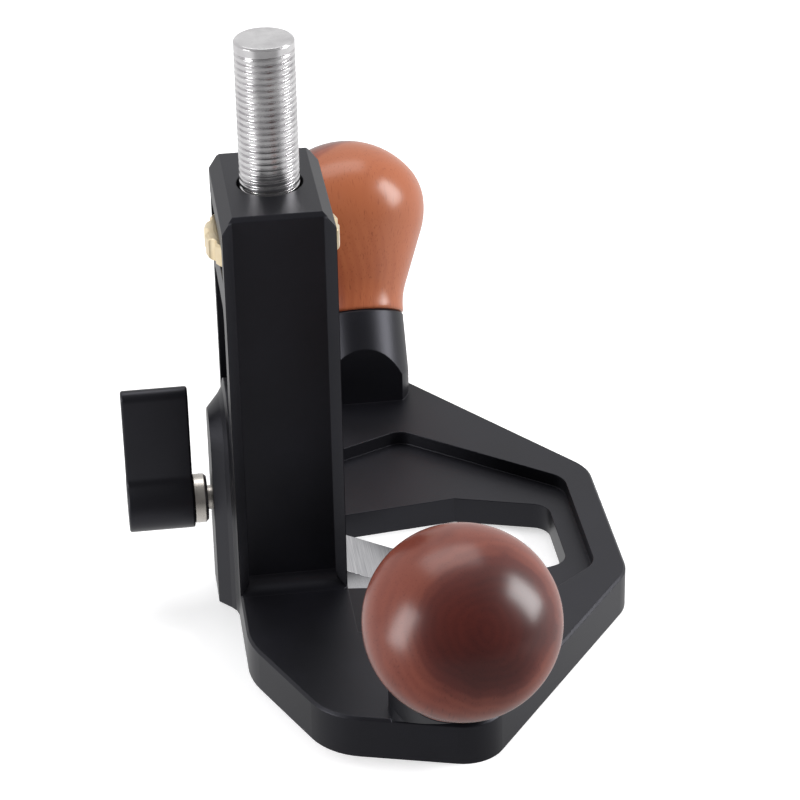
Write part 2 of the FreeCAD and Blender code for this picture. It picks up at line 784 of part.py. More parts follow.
def make_wheel():
    """The brass nut: scalloped rim, hub above and the post's bore."""
    body = new_body("depth_wheel")
    disc = new_sketch(body, "disc_ring", "XY_Plane")
    raise_sketch(disc, "wheel_low")
    circle(disc, "wheel_radius")
    pad(body, disc, "disc", "wheel_thick")
    soften(body, "Chamfer", "disc_rims", "wheel_bevel",
           lambda edge, middle: edge.Curve.TypeId == "Part::GeomCircle")
    bite = new_sketch(body, "scallop_ring", "XY_Plane")
    raise_sketch(bite, "wheel_low + wheel_thick")
    circle(bite, "scallop_radius", "wheel_radius + scallop_out", "0")
    first = pocket(body, bite, "scallop", "wheel_thick")
    ring = body.newObject("PartDesign::PolarPattern", "scallops")
    ring.Originals = [first]
    ring.Axis = (origin_part(body, "Z_Axis"), [""])
    ring.Angle = 360.0
    ring.Occurrences = int(worth("scallop_count"))
    ring.setExpression("Occurrences", bound("scallop_count"))
    body.Tip = ring
    doc.recompute()
    neck = new_sketch(body, "hub_ring", "XY_Plane")
    raise_sketch(neck, "wheel_low + wheel_thick")
    circle(neck, "hub_radius")
    pad(body, neck, "hub", "slot_roof - ring_thick - wheel_low - wheel_thick")
    bore = new_sketch(body, "bore_ring", "XY_Plane")
    raise_sketch(bore, "slot_roof")
    circle(bore, "post_radius + wheel_bore_gap")
    pocket(body, bore, "bore", "slot_roof - wheel_low + 1")
    return body


def make_washers():
    """The two thin rings that the wheel turns between."""
    rings = []
    for word, low in (("lower", "slot_floor"), ("upper", "slot_roof - ring_thick")):
        disc = cylinder("ring_disc_" + word, "ring_radius", "ring_thick", z=low)
        core = cylinder("ring_core_" + word, "ring_bore", "ring_thick", z=low)
        cut = doc.addObject("Part::Cut", "ring_" + word)
        cut.Base = disc
        cut.Tool = core
        rings.append(cut)
    group = doc.addObject("Part::Compound", "wheel_washers")
    group.Links = rings
    group.Label = "wheel_washers"
    return group


def on_clamp_axis(piece):
    """Raises a piece made along X to the clamp's height."""
    piece.setExpression("Placement.Base.z", bound("clamp_height"))


def make_lever():
    """The clamp's wing handle: round hub and a thin wing with a flared root."""
    body = new_body("clamp_lever")
    hub = new_sketch(body, "hub_ring", "YZ_Plane")
    raise_sketch(hub, "-lever_out")
    circle(hub, "lever_hub_radius")
    pad(body, hub, "hub", "lever_out - lever_in")
    side = new_sketch(body, "wing_outline", "YZ_Plane")
    raise_sketch(side, "-lever_out")
    outline(side, [("-wing_foot_half", "0"), ("wing_foot_half", "0"),
                   ("wing_foot_half", "wing_foot"), ("wing_half", "wing_low"),
                   ("wing_half", "wing_top"), ("-wing_half", "wing_top"),
                   ("-wing_half", "wing_low"), ("-wing_foot_half", "wing_foot")])
    pad(body, side, "wing", "lever_out - lever_in")
    top = worth("wing_top")
    soften(body, "Fillet", "wing_crown", "wing_half - 0.2",
           lambda edge, middle: abs(middle.z - top) < NEAR and edge.BoundBox.XLength > 1)
    hole = new_sketch(body, "stud_seat_ring", "YZ_Plane")
    raise_sketch(hole, "-lever_in")
    circle(hole, "stud_radius + seat_gap")
    pocket(body, hole, "stud_seat", "stud_in_lever + seat_gap")
    on_clamp_axis(body)
    return body


def make_collar():
    """The bright ring under the lever, with a turned groove."""
    body = new_body("clamp_collar")
    side = new_sketch(body, "collar_outline", "XZ_Plane")
    low = "stud_radius + seat_gap"
    middle = "(lever_in + collar_in) / 2"
    outline(side, [("-lever_in", low), ("-collar_in", low), ("-collar_in", "collar_radius"),
                   ("-" + middle + " + collar_groove_wide / 2", "collar_radius"),
                   ("-" + middle + " + collar_groove_wide / 2", "collar_radius - collar_groove"),
                   ("-" + middle + " - collar_groove_wide / 2", "collar_radius - collar_groove"),
                   ("-" + middle + " - collar_groove_wide / 2", "collar_radius"),
                   ("-lever_in", "collar_radius")])
    revolve(body, side, "collar_turned", "H_Axis")
    on_clamp_axis(body)
    return body


def make_stud():
    """The clamp's threaded stud."""
    body = new_body("clamp_stud")
    ring = new_sketch(body, "stud_ring", "YZ_Plane")
    raise_sketch(ring, "-lever_in - stud_in_lever")
    circle(ring, "stud_radius")
    pad(body, ring, "stud", "lever_in + stud_in_lever - post_flat - tip_long")
    on_clamp_axis(body)
    return body


def make_pad():
    """The brass tip between the stud and the post's flat."""
    body = new_body("clamp_pad")
    ring = new_sketch(body, "tip_ring", "YZ_Plane")
    raise_sketch(ring, "-post_flat - tip_long")
    circle(ring, "stud_radius")
    pad(body, ring, "tip", "tip_long")
    on_clamp_axis(body)
    return body


def make_all():
    """Every piece of the plane under its own name."""
    pieces = [make_plane_body(), make_post(), make_blade(), make_blade_screw(),
              make_dowels(), make_wheel(), make_washers(), make_lever(),
              make_collar(), make_stud(), make_pad()]
    for piece in pieces:
        piece.setExpression("Placement.Base.x", bound("-middle_x"))
    for word, side in (("right", 1), ("left", -1)):
        pieces.append(make_knob(word + "_knob", side))
        pieces.append(make_insert(word + "_knob_insert", side))
        pieces.append(make_knob_stud(word + "_knob_stud", side))
    doc.recompute()
    return pieces


def check_and_write(pieces):
    """Stops on any broken object, then writes one file for each piece."""
    for item in doc.Objects:
        if "Invalid" in item.State or "Error" in item.State:
            raise ValueError("broken object " + item.Name)
    os.makedirs("parts", exist_ok=True)
    for piece in pieces:
        shape = piece.Shape
        if shape.isNull() or not shape.isValid():
            raise ValueError("broken shape " + piece.Label)
        shape.exportStep("parts/" + piece.Label + ".step")
        box = shape.BoundBox
        print(piece.Label, len(shape.Solids), "solids",
              [round(v, 2) for v in (box.XMin, box.XMax, box.YMin, box.YMax, box.ZMin, box.ZMax)])


check_and_write(make_all())
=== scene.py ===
"""Looks of the hand router plane: threads, turned wood, finishes, light and camera."""
import logging
import math
from dataclasses import dataclass
from enum import Enum
from typing import Callable, Iterable, Optional, Sequence

import bmesh
import bpy
from mathutils import Matrix, Vector


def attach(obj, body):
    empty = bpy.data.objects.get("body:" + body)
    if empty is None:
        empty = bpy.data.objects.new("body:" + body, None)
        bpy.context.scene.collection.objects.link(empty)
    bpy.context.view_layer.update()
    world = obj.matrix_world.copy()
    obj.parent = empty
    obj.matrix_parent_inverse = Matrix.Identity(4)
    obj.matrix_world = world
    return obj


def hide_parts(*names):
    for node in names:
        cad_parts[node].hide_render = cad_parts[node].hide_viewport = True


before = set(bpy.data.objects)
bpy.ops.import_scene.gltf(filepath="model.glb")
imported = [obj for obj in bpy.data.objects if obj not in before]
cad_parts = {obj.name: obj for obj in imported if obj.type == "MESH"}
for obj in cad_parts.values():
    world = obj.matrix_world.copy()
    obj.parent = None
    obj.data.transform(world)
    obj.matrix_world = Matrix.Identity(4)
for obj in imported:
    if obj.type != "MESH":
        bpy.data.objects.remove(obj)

log = logging.getLogger("router_plane")

MM = 0.001
POST_X = -0.02165


def linear(code: str) -> tuple[float, float, float, float]:
    """Turns a hex sRGB colour into linear RGBA.

    Args:
        code: Six hex digits, with or without a leading mark.

    Returns:
        Red, green, blue and a full alpha.
    """
    digits = code.lstrip("#")
    parts = []
    for start in (0, 2, 4):
        value = int(digits[start:start + 2], 16) / 255.0
        curved = ((value + 0.055) / 1.055) ** 2.4
        parts.append(value / 12.92 if value <= 0.04045 else curved)
    return parts[0], parts[1], parts[2], 1.0


def add_node(tree: bpy.types.NodeTree, kind: str, inputs: Optional[dict] = None,
             **settings: object) -> bpy.types.Node:
    """Adds a shader node, with its settings and its inputs set or linked.

    Args:
        tree: The material's node tree.
        kind: Blender's node type name.
        inputs: Input name or number to a value or an output socket.
        settings: Properties of the node itself.

    Returns:
        The new node.
    """
    node = tree.nodes.new(kind)
    for name, value in settings.items():
        setattr(node, name, value)
    for name, value in (inputs or {}).items():
        if isinstance(value, bpy.types.NodeSocket):
            tree.links.new(value, node.inputs[name])
        else:
            node.inputs[name].default_value = value
    return node


def ramp(tree: bpy.types.NodeTree, factor: bpy.types.NodeSocket,
         stops: Sequence[tuple[float, str]]) -> bpy.types.NodeSocket:
    """Adds a colour ramp.

    Args:
        tree: The material's node tree.
        factor: What drives the ramp.
        stops: Places from 0 to 1, each with its hex colour.

    Returns:
        The ramp's colour output.
    """
    node = add_node(tree, "ShaderNodeValToRGB", {"Fac": factor})
    band = node.color_ramp
    while len(band.elements) < len(stops):
        band.elements.new(0.5)
    for element, (place, code) in zip(band.elements, stops):
        element.position = place
        element.color = linear(code)
    return node.outputs["Color"]


def maths(tree: bpy.types.NodeTree, operation: str, first: object,
          second: object = 0.0, third: object = 0.0) -> bpy.types.NodeSocket:
    """Adds one sum on numbers.

    Args:
        tree: The material's node tree.
        operation: Blender's name of the operation.
        first: Left value or socket.
        second: Right value or socket.
        third: What is added after a product, if the operation adds.

    Returns:
        The result's socket.
    """
    node = add_node(tree, "ShaderNodeMath", {0: first, 1: second, 2: third},
                    operation=operation)
    return node.outputs[0]


def new_material(name: str) -> tuple[bpy.types.Material, bpy.types.NodeTree,
                                     bpy.types.Node]:
    """Makes a material that holds one principled shader.

    Args:
        name: What the material is.

    Returns:
        The material, its tree and its shader.
    """
    material = bpy.data.materials.new(name)
    material.use_nodes = True
    tree = material.node_tree
    tree.nodes.clear()
    shader = add_node(tree, "ShaderNodeBsdfPrincipled")
    add_node(tree, "ShaderNodeOutputMaterial", {"Surface": shader.outputs["BSDF"]})
    return material, tree, shader


def dress(piece: bpy.types.Object, material: bpy.types.Material) -> None:
    """Gives every slot of a piece one material.

    Args:
        piece: The object to dress.
        material: Its new finish.
    """
    if not piece.material_slots:
        piece.data.materials.append(material)
    for slot in piece.material_slots:
        slot.material = material


def make_piece(name: str, mesh_tool: bmesh.types.BMesh, body: str,
               material: bpy.types.Material, smooth_deg: float = 35.0) -> bpy.types.Object:
    """Turns a finished mesh tool into a piece that rides on a body.

    Args:
        name: The piece's name.
        mesh_tool: Its geometry in the shared frame, in metres.
        body: The moving body that carries it.
        material: Its finish.
        smooth_deg: Edges flatter than this are shaded smooth.

    Returns:
        The new object, at the origin and unscaled.
    """
    bmesh.ops.recalc_face_normals(mesh_tool, faces=mesh_tool.faces[:])
    limit = math.radians(smooth_deg)
    for face in mesh_tool.faces:
        face.smooth = True
    for edge in mesh_tool.edges:
        sharp = len(edge.link_faces) != 2 or edge.calc_face_angle(0.0) > limit
        edge.smooth = not sharp
    mesh = bpy.data.meshes.new(name)
    mesh_tool.to_mesh(mesh)
    mesh_tool.free()
    piece = bpy.data.objects.new(name, mesh)
    bpy.context.scene.collection.objects.link(piece)
    dress(piece, material)
    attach(piece, body)
    log.info("%s: %d faces", name, len(mesh.polygons))
    return piece


def boundary(mesh_tool: bmesh.types.BMesh,
             wanted: Callable[[Vector], bool]) -> list[bmesh.types.BMEdge]:
    """Finds the open edges that pass a test.

    Args:
        mesh_tool: The mesh to search.
        wanted: Test on both ends of an edge.

    Returns:
        The edges.
    """
    return [edge for edge in mesh_tool.edges
            if edge.is_boundary and all(wanted(vert.co) for vert in edge.verts)]


def extend_ring(mesh_tool: bmesh.types.BMesh, ring: Iterable[bmesh.types.BMEdge],
                place: Callable[[Vector], Vector]) -> list[bmesh.types.BMEdge]:
    """Extrudes an open ring of edges and sets the new ring's points.

    Args:
        mesh_tool: The mesh to extend.
        ring: The open edges.
        place: Gives each new point from the old one.

    Returns:
        The new ring's edges.
    """
    result = bmesh.ops.extrude_edge_only(mesh_tool, edges=list(ring))["geom"]
    fresh = [item for item in result if isinstance(item, bmesh.types.BMVert)]
    for vert in fresh:
        vert.co = place(vert.co)
    marked = set(fresh)
    return [item for item in result if isinstance(item, bmesh.types.BMEdge)
            and all(vert in marked for vert in item.verts)]


class Axis(Enum):
    """Which way a piece was turned on the lathe or ground."""

    ALONG_X = 0
    ALONG_Y = 1
    ALONG_Z = 2


@dataclass(frozen=True)
class AnodisedBlack:
    """Bead-blasted aluminium, black anodised, with softly broken edges.

    Attributes:
        name: The material's name.
        dark: Hex colour of the film.
        pale: Hex colour of its thinner patches.
        roughness: Mean roughness.
        edge: Radius in metres of the broken edges in the shading.
        patches: Pale patches a metre.
        grains: Grains of the blasting a metre.
        grain_deep: Height of a grain in metres.
        spread: How far the roughness wanders over the patches.
        tint: Hex colour of the film's sheen.
    """

    name: str
    dark: str = "#0b0b0e"
    pale: str = "#121217"
    roughness: float = 0.4
    edge: float = 0.35 * MM
    patches: float = 38.0
    grains: float = 3800.0
    grain_deep: float = 0.06 * MM
    spread: float = 0.06
    tint: str = "#f1f1ff"

    def material(self) -> bpy.types.Material:
        """Builds the material.

        Returns:
            The material.
        """
        material, tree, shader = new_material(self.name)
        where = add_node(tree, "ShaderNodeTexCoord").outputs["Object"]
        cloud = add_node(tree, "ShaderNodeTexNoise",
                         {"Vector": where, "Scale": self.patches, "Detail": 4.0})
        colour = ramp(tree, cloud.outputs["Fac"], ((0.35, self.dark), (0.7, self.pale)))
        grain = add_node(tree, "ShaderNodeTexNoise",
                         {"Vector": where, "Scale": self.grains, "Detail": 2.0})
        rough = maths(tree, "MULTIPLY_ADD", cloud.outputs["Fac"], self.spread,
                      self.roughness - self.spread / 2.0)
        rounded = add_node(tree, "ShaderNodeBevel", {"Radius": self.edge}, samples=8)
        bump = add_node(tree, "ShaderNodeBump",
                        {"Height": grain.outputs["Fac"], "Strength": 0.22,
                         "Distance": self.grain_deep,
                         "Normal": rounded.outputs["Normal"]})
        for socket, value in (("Base Color", colour), ("Roughness", rough),
                              ("Normal", bump.outputs["Normal"])):
            tree.links.new(value, shader.inputs[socket])
        shader.inputs["Metallic"].default_value = 0.0
        shader.inputs["IOR"].default_value = 1.5
        shader.inputs["Specular IOR Level"].default_value = 0.36
        shader.inputs["Specular Tint"].default_value = linear(self.tint)
        return material


@dataclass(frozen=True)
class TurnedMetal:
    """Bare metal off a lathe, with fine rings about its axis.

    Attributes:
        name: The material's name.
        bright: Hex colour of the clean metal.
        dull: Hex colour of its duller patches.
        axis: The lathe's axis.
        centre: A point on the axis, in metres.
        roughness: Mean roughness.
        ring: Spacing of the tool marks in metres, coarse enough to show.
        depth: Depth of the tool marks in metres.
        along: Share of the marks that also runs along the axis.
        patches: Duller patches a metre.
        spread: How far the roughness wanders over the patches.
        edge: Radius in metres of the broken edges in the shading.
    """

    name: str
    bright: str
    dull: str
    axis: Axis
    centre: tuple[float, float, float]
    roughness: float = 0.24
    ring: float = 0.7 * MM
    depth: float = 0.005 * MM
    along: float = 1.0
    patches: float = 160.0
    spread: float = 0.12
    edge: float = 0.15 * MM

    def material(self) -> bpy.types.Material:
        """Builds the material.

        Returns:
            The material.
        """
        material, tree, shader = new_material(self.name)
        where = add_node(tree, "ShaderNodeTexCoord").outputs["Object"]
        moved = add_node(tree, "ShaderNodeVectorMath",
                         {0: where, 1: self.centre}, operation="SUBTRACT").outputs[0]
        flat = [1.0, 1.0, 1.0]
        flat[self.axis.value] = 0.0
        across = add_node(tree, "ShaderNodeVectorMath",
                          {0: moved, 1: flat}, operation="MULTIPLY").outputs[0]
        radius = add_node(tree, "ShaderNodeVectorMath", {0: across},
                          operation="LENGTH").outputs["Value"]
        parts = add_node(tree, "ShaderNodeSeparateXYZ", {0: moved})
        along = maths(tree, "MULTIPLY", parts.outputs[self.axis.value], self.along)
        travel = maths(tree, "ADD", radius, along)
        waves = maths(tree, "SINE", maths(tree, "MULTIPLY", travel,
                                          2.0 * math.pi / self.ring))
        cloud = add_node(tree, "ShaderNodeTexNoise",
                         {"Vector": where, "Scale": self.patches, "Detail": 3.0})
        colour = ramp(tree, cloud.outputs["Fac"], ((0.3, self.dull), (0.65, self.bright)))
        rough = maths(tree, "MULTIPLY_ADD", cloud.outputs["Fac"], self.spread,
                      self.roughness - self.spread / 2.0)
        rounded = add_node(tree, "ShaderNodeBevel", {"Radius": self.edge}, samples=6)
        bump = add_node(tree, "ShaderNodeBump",
                        {"Height": waves, "Strength": 0.5, "Distance": self.depth,
                         "Normal": rounded.outputs["Normal"]})
        for socket, value in (("Base Color", colour), ("Roughness", rough),
                              ("Normal", bump.outputs["Normal"])):
            tree.links.new(value, shader.inputs[socket])
        shader.inputs["Metallic"].default_value = 1.0
        return material


@dataclass(frozen=True)
class GroundSteel:
    """Surface-ground tool steel with straight grinding lines.

    Attributes:
        name: The material's name.
        bright: Hex colour of the ground face.
        dull: Hex colour between the lines.
        lines: Grinding lines a metre, across, along and up.
        deep: Depth of the lines in metres.
        edge: Radius in metres of the broken edges in the shading.
        roughness: Roughness.
    """

    name: str = "ground tool steel"
    bright: str = "#d2d2d4"
    dull: str = "#a9a9ad"
    lines: tuple[float, float, float] = (5200.0, 90.0, 5200.0)
    deep: float = 0.02 * MM
    edge: float = 0.2 * MM
    roughness: float = 0.34

    def material(self) -> bpy.types.Material:
        """Builds the material.

        Returns:
            The material.
        """
        material, tree, shader = new_material(self.name)
        where = add_node(tree, "ShaderNodeTexCoord").outputs["Object"]
        drawn = add_node(tree, "ShaderNodeVectorMath",
                         {0: where, 1: self.lines},
                         operation="MULTIPLY").outputs[0]
        lines = add_node(tree, "ShaderNodeTexNoise",
                         {"Vector": drawn, "Scale": 1.0, "Detail": 3.0})
        colour = ramp(tree, lines.outputs["Fac"], ((0.25, self.dull), (0.7, self.bright)))
        rounded = add_node(tree, "ShaderNodeBevel", {"Radius": self.edge}, samples=6)
        bump = add_node(tree, "ShaderNodeBump",
                        {"Height": lines.outputs["Fac"], "Strength": 0.35,
                         "Distance": self.deep, "Normal": rounded.outputs["Normal"]})
        tree.links.new(colour, shader.inputs["Base Color"])
        tree.links.new(bump.outputs["Normal"], shader.inputs["Normal"])
        shader.inputs["Metallic"].default_value = 1.0
        shader.inputs["Roughness"].default_value = self.roughness
        return material


@dataclass(frozen=True)
class PolishedWood:
    """Close-grained red-brown wood under a clear lacquer, dark round a middle line; on the
    right knob that dark middle faces the camera as a painted reflection of the dark room,
    with a painted lighter rim.

    Attributes:
        name: The material's name.
        deep: Hex colour of the dark rings and of the dark middle.
        body: Hex colour of most of the wood.
        warm: Hex colour of the light rings and of the lighter wood outside the dark middle.
        seed: Shifts the figure so that no two knobs match.
        pith: Direction of the tree's middle in the knob's own coordinates, also the axis of
            the dark middle.
        aside: A point on that middle line, in metres.
        dark_patch_and_reflection: Radius in metres of the dark middle round the pith line:
            a painted reflection of the dark room on the right knob, a darker patch on the
            left knob.
        shift: Where the figure starts, in metres.
        patches: Slow patches a metre, across, across and along.
        warp: How far the patches bend the rings, in metres.
        ring: Width of a year's ring in metres.
        pores: Pores a metre, across, across and along.
        pore_deep: Depth of a pore in metres.
    """

    name: str
    deep: str
    body: str
    warm: str
    seed: float
    pith: tuple[float, float, float] = (0.0, 0.0, 1.0)
    aside: tuple[float, float, float] = (0.0, 0.0, 0.0)
    dark_patch_and_reflection: float = 12.5 * MM
    shift: tuple[float, float, float] = (13.0 * MM, 21.0 * MM, 0.0)
    patches: tuple[float, float, float] = (55.0, 55.0, 14.0)
    warp: tuple[float, float, float] = (9.0 * MM, 9.0 * MM, 4.0 * MM)
    ring: float = 2.1 * MM
    pores: tuple[float, float, float] = (2600.0, 2600.0, 170.0)
    pore_deep: float = 0.03 * MM

    def _sum(self, tree: bpy.types.NodeTree, operation: str, first: object,
             second: object) -> bpy.types.NodeSocket:
        """Adds one sum on vectors.

        Args:
            tree: The material's node tree.
            operation: Blender's name of the operation.
            first: Left vector or socket.
            second: Right vector or socket.

        Returns:
            The result's socket.
        """
        return add_node(tree, "ShaderNodeVectorMath", {0: first, 1: second},
                        operation=operation).outputs[0]

    def material(self) -> bpy.types.Material:
        """Builds the material from the knob's own stored coordinates.

        Returns:
            The material.
        """
        material, tree, shader = new_material(self.name)
        grain = add_node(tree, "ShaderNodeAttribute", attribute_name="grain",
                         attribute_type="GEOMETRY").outputs["Vector"]
        start = tuple(at + move for at, move in
                      zip(self.shift, (self.seed, 0.0, self.seed)))
        shifted = self._sum(tree, "ADD", grain, start)
        slow = add_node(tree, "ShaderNodeTexNoise",
                        {"Vector": self._sum(tree, "MULTIPLY", shifted, self.patches),
                         "Scale": 1.0, "Detail": 3.0})
        warped = self._sum(tree, "ADD", shifted,
                           self._sum(tree, "MULTIPLY", slow.outputs["Color"], self.warp))
        # the noise averages a half, so half the warp is taken off again
        middle = tuple(at + point + bend / 2.0 for at, point, bend in
                       zip(start, self.aside, self.warp))
        away = self._sum(tree, "CROSS_PRODUCT",
                         self._sum(tree, "SUBTRACT", warped, middle), self.pith)
        radius = add_node(tree, "ShaderNodeVectorMath", {0: away},
                          operation="LENGTH").outputs["Value"]
        waves = maths(tree, "SINE", maths(tree, "MULTIPLY", radius,
                                          2.0 * math.pi / self.ring))
        rings = maths(tree, "MULTIPLY_ADD", waves, 0.5, 0.5)
        # dark middle round the pith line, lighter outside it: on the right knob the line
        # points at the camera, so this is a painted reflection of the dark room with a
        # painted lighter rim; on the left knob it is a darker patch toward the column
        dark_patch_and_reflection = add_node(tree, "ShaderNodeMapRange",
                         {"Value": radius, "From Min": self.dark_patch_and_reflection * 0.8,
                          "From Max": self.dark_patch_and_reflection * 1.45},
                         interpolation_type="SMOOTHSTEP").outputs["Result"]
        pores = add_node(tree, "ShaderNodeTexNoise",
                         {"Vector": self._sum(tree, "MULTIPLY", shifted, self.pores),
                          "Scale": 1.0, "Detail": 2.0})
        figure = maths(tree, "ADD", maths(tree, "MULTIPLY", rings, 0.045),
                       maths(tree, "MULTIPLY", slow.outputs["Fac"], 0.6))
        blend = maths(tree, "ADD", figure, maths(tree, "MULTIPLY", dark_patch_and_reflection, 0.4))
        colour = ramp(tree, blend, ((0.28, self.deep), (0.5, self.body), (0.74, self.warm)))
        dots = ramp(tree, pores.outputs["Fac"], ((0.3, "#8a6a60"), (0.42, "#ffffff")))
        mixed = add_node(tree, "ShaderNodeMix", {"Factor": 0.3},
                         data_type="RGBA", blend_type="MULTIPLY")
        for socket in mixed.inputs:
            if socket.name == "A" and socket.type == "RGBA":
                tree.links.new(colour, socket)
            if socket.name == "B" and socket.type == "RGBA":
                tree.links.new(dots, socket)
        result = [out for out in mixed.outputs if out.type == "RGBA"][0]
        bump = add_node(tree, "ShaderNodeBump",
                        {"Height": pores.outputs["Fac"], "Strength": 0.12,
                         "Distance": self.pore_deep})
        tree.links.new(result, shader.inputs["Base Color"])
        tree.links.new(bump.outputs["Normal"], shader.inputs["Normal"])
        shader.inputs["Roughness"].default_value = 0.6
        shader.inputs["Specular IOR Level"].default_value = 0.08
        shader.inputs["Coat Weight"].default_value = 0.8
        shader.inputs["Coat Roughness"].default_value = 0.26
        return material


@dataclass
class ThreadedPost:
    """The depth post: plain foot with a flat, coarse thread and a bevelled top.

    Attributes:
        radius: Outer radius in metres.
        pitch: Thread pitch in metres.
        depth: Thread depth in metres.
        low: Height of the foot's face.
        start: Height where the thread begins.
        end: Height where the plain band under the top begins.
        top: Height of the flat top.
        bevel: Width of the top's bevel.
        flat: Distance of the clamp flat from the axis.
        flat_low: Lower end of the flat.
        flat_high: Upper end of the flat.
        steps: Points round the post.
    """

    radius: float = 7.0 * MM
    pitch: float = 1.5 * MM
    depth: float = 0.55 * MM
    low: float = 10.4 * MM
    start: float = 70.0 * MM
    end: float = 143.6 * MM
    top: float = 145.3 * MM
    bevel: float = 0.45 * MM
    flat: float = 6.2 * MM
    flat_low: float = 16.0 * MM
    flat_high: float = 66.0 * MM
    steps: int = 72

    def _profile(self) -> list[tuple[float, float]]:
        """Lists radius and height up the thread, one crest and root a pitch.

        Returns:
            Radius and height of each point.
        """
        points = []
        turns = int((self.end - self.start) / self.pitch) + 4
        for turn in range(turns):
            base = self.start - 2.0 * self.pitch + turn * self.pitch
            for part, deep in ((0.0, 0.0), (0.5, 0.0), (0.68, 1.0), (0.82, 1.0)):
                points.append((self.radius - deep * self.depth, base + part * self.pitch))
        return points

    def _fade(self, height: float) -> float:
        """Tells how much of the groove is left near the thread's two ends.

        Args:
            height: Height above the sole.

        Returns:
            From 0, none, to 1, the full depth.
        """
        run = 1.2 * self.pitch
        near = min(height - self.start, self.end - height) / run
        return max(0.0, min(1.0, near))

    def _ring(self, radius: float, height: float, flat: bool) -> Callable[[Vector], Vector]:
        """Gives the move of a ring to a radius and height.

        Args:
            radius: The ring's radius.
            height: The ring's height.
            flat: True where the clamp flat cuts the ring.

        Returns:
            The move, from an old point to its new place.
        """
        def move(point: Vector) -> Vector:
            """Places one point of the ring.

            Args:
                point: The old point.

            Returns:
                The new point.
            """
            out = Vector((point.x, point.y, 0.0)).normalized() * radius
            if flat and out.x < -self.flat:
                out.x = -self.flat
            return Vector((out.x, out.y, height))
        return move

    def build(self, material: bpy.types.Material) -> bpy.types.Object:
        """Makes the post.

        Args:
            material: Its finish.

        Returns:
            The post.
        """
        tool = bmesh.new()
        verts = [tool.verts.new((radius, 0.0, height))
                 for radius, height in self._profile()]
        edges = [tool.edges.new((verts[i], verts[i + 1])) for i in range(len(verts) - 1)]
        bmesh.ops.spin(tool, geom=verts + edges, cent=(0, 0, 0), axis=(0, 0, 1),
                       dvec=(0, 0, self.pitch / self.steps), angle=2.0 * math.pi,
                       steps=self.steps, use_merge=False, use_duplicate=False)
        bmesh.ops.remove_doubles(tool, verts=tool.verts[:], dist=0.02 * MM)
        for height, up in ((self.end, 1.0), (self.start, -1.0)):
            bmesh.ops.bisect_plane(
                tool, geom=tool.verts[:] + tool.edges[:] + tool.faces[:], dist=1e-6,
                plane_co=(0, 0, height), plane_no=(0, 0, up), clear_outer=True)
        for vert in tool.verts:
            reach = math.hypot(vert.co.x, vert.co.y)
            wanted = self.radius - (self.radius - reach) * self._fade(vert.co.z)
            vert.co.x *= wanted / reach
            vert.co.y *= wanted / reach
        middle = (self.start + self.end) / 2.0
        high = boundary(tool, lambda point: point.z > middle)
        low = boundary(tool, lambda point: point.z < middle)
        lip = 0.12 * MM
        high = extend_ring(tool, high, self._ring(self.radius, self.end + lip, False))
        high = extend_ring(tool, high,
                           self._ring(self.radius, self.top - self.bevel, False))
        high = extend_ring(tool, high,
                           self._ring(self.radius - self.bevel, self.top, False))
        bmesh.ops.contextual_create(tool, geom=high)
        for height, flat in ((self.flat_high, False), (self.flat_high - 0.01 * MM, True),
                             (self.flat_low + 0.01 * MM, True), (self.flat_low, False),
                             (self.low, False)):
            low = extend_ring(tool, low, self._ring(self.radius, height, flat))
        bmesh.ops.contextual_create(tool, geom=low)
        bmesh.ops.translate(tool, verts=tool.verts[:], vec=(POST_X, 0, 0))
        piece = make_piece("post_threaded", tool, "cutter_post",
                           material, smooth_deg=28.0)
        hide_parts("depth_post")
        return piece


